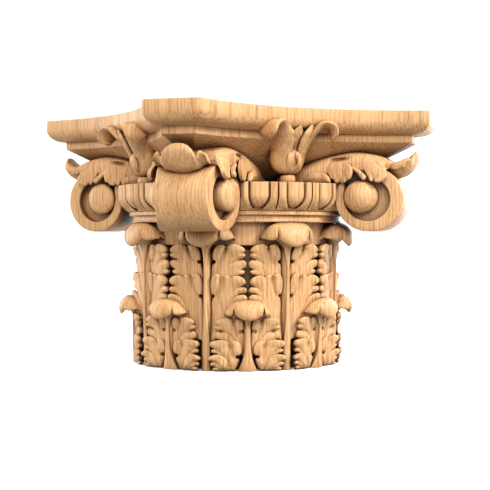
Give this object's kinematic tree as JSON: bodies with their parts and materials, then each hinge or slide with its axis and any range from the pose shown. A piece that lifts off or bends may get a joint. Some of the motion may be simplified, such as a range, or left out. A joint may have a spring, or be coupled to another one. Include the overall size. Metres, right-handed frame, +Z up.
{
  "type": "corinthian capital",
  "caption": "Carved wooden column capital with acanthus leaves round a bell, angle volutes, an egg-and-dart ring and a concave-sided abacus.",
  "frame": {"origin": "centre of the flat underside, where the capital rests on the column shaft", "axes": "+Z up along the column's axis; the four sides of the abacus face +X, -X, +Y and -Y and its cut corners lie on the diagonals"},
  "size_m": [0.3064, 0.3064, 0.2355],
  "materials": {
    "carved_beech": "fine sanded light wood, satin, unpainted"
  },
  "bodies": {
    "root": {"capital": "carved_beech"}
  },
  "joints": []
}
